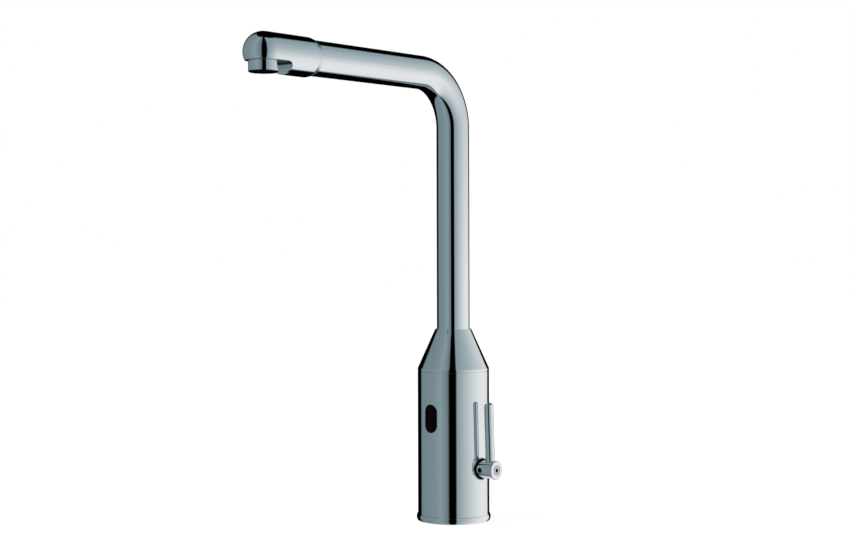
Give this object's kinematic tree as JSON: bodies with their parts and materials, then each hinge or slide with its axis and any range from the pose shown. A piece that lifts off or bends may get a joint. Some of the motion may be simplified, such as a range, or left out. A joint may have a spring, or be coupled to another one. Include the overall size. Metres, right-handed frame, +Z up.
{
  "type": "sensor tap",
  "caption": "Deck-mounted sensor tap: cylindrical body with a front sensor window, tapered neck, tall swivelling angled spout with aerator, and a mixing lever at the side.",
  "frame": {"origin": "middle of the base's underside, on the body's axis, at the mouth of the fixing stud's hole", "axes": "+Z up along the body and the spout's upright tube, the spout and the sensor window face -Y, the mixing lever's axis points to +X"},
  "size_m": [0.0617, 0.2132, 0.3101],
  "materials": {
    "chrome": "polished chrome plating on brass",
    "brass": "machined",
    "steel": "plain stainless steel",
    "rubber": "matt",
    "white_plastic": "acetal, satin",
    "black_plastic": "moulded, satin",
    "window": "glossy infrared filter, black with a hint of dark red",
    "copper_wire": "enamelled copper winding",
    "circuit_board": "solder mask"
  },
  "bodies": {
    "body": {"base_ring": "chrome", "base_seal": "rubber", "base_screws": "steel", "valve_body": "brass", "cable_grommet": "rubber", "inlet_strainer_hot": "steel", "inlet_strainer_cold": "steel", "check_body_hot": "white_plastic", "check_body_cold": "white_plastic", "check_spring_hot": "steel", "check_spring_cold": "steel", "cartridge_sleeve": "white_plastic", "cartridge_nut": "brass", "lever_bush": "chrome", "diaphragm": "rubber", "solenoid_bonnet": "brass", "armature_tube": "steel", "plunger_spring": "steel", "pole_piece": "steel", "coil_bobbin": "white_plastic", "coil_winding": "copper_wire", "coil_yoke": "steel", "coil_nut": "steel", "sensor_window": "window", "sensor_seal": "rubber", "sensor_housing": "black_plastic", "sensor_board": "circuit_board", "ir_emitter": "black_plastic", "ir_receiver": "black_plastic", "sensor_screws": "steel", "riser_tube": "brass", "tie_posts": "steel", "spout_socket": "brass", "stop_pin": "steel", "body_sleeve": "chrome", "cone_cap": "chrome", "slip_washer": "white_plastic", "slip_bush": "white_plastic"},
    "spout": {"spout_tube": "chrome", "spout_spigot": "brass", "spout_orings": "rubber", "spout_nozzle": "chrome", "aerator_housing": "chrome", "aerator_insert": "white_plastic", "aerator_screen": "steel", "aerator_washer": "rubber"},
    "lever": {"mixing_spool": "brass", "spool_orings": "rubber", "lever_hub": "chrome", "lever_rod": "chrome", "grub_screw": "steel", "hub_cap": "chrome", "cap_screw": "chrome"},
    "plunger": {"plunger": "steel", "plunger_seal": "rubber"},
    "diaphragm_plate": {"diaphragm_plate": "white_plastic"},
    "poppet_hot": {"check_poppet_hot": "white_plastic"},
    "poppet_cold": {"check_poppet_cold": "white_plastic"}
  },
  "joints": [
    {"name": "spout_swivel", "type": "hinge", "parent": "body", "child": "spout", "pos_m": [0, 0, 0.1067], "axis": [0, 0, 1], "range_deg": [-60, 60]},
    {"name": "lever_turn", "type": "hinge", "parent": "body", "child": "lever", "pos_m": [0.0314, 0, 0.0357], "axis": [1, 0, 0], "range_deg": [-47.4, 42.6]},
    {"name": "plunger_slide", "type": "slide", "parent": "body", "child": "plunger", "axis": [0, 0, 1], "range_m": [0, 0.0018], "stiffness_N_per_m": 150, "springref_m": -0.004, "deforming": ["plunger_spring"]},
    {"name": "diaphragm_lift", "type": "slide", "parent": "body", "child": "diaphragm_plate", "axis": [0, 0, 1], "range_m": [0, 0.0012]},
    {"name": "poppet_slide_hot", "type": "slide", "parent": "body", "child": "poppet_hot", "axis": [0, 0, 1], "range_m": [0, 0.0015], "stiffness_N_per_m": 60, "springref_m": -0.002, "deforming": ["check_spring_hot"]},
    {"name": "poppet_slide_cold", "type": "slide", "parent": "body", "child": "poppet_cold", "axis": [0, 0, 1], "range_m": [0, 0.0015], "stiffness_N_per_m": 60, "springref_m": -0.002, "deforming": ["check_spring_cold"]}
  ],
  "couplings": [
    {"joint": "diaphragm_lift", "follows": "plunger_slide", "ratio": 0.6666}
  ]
}
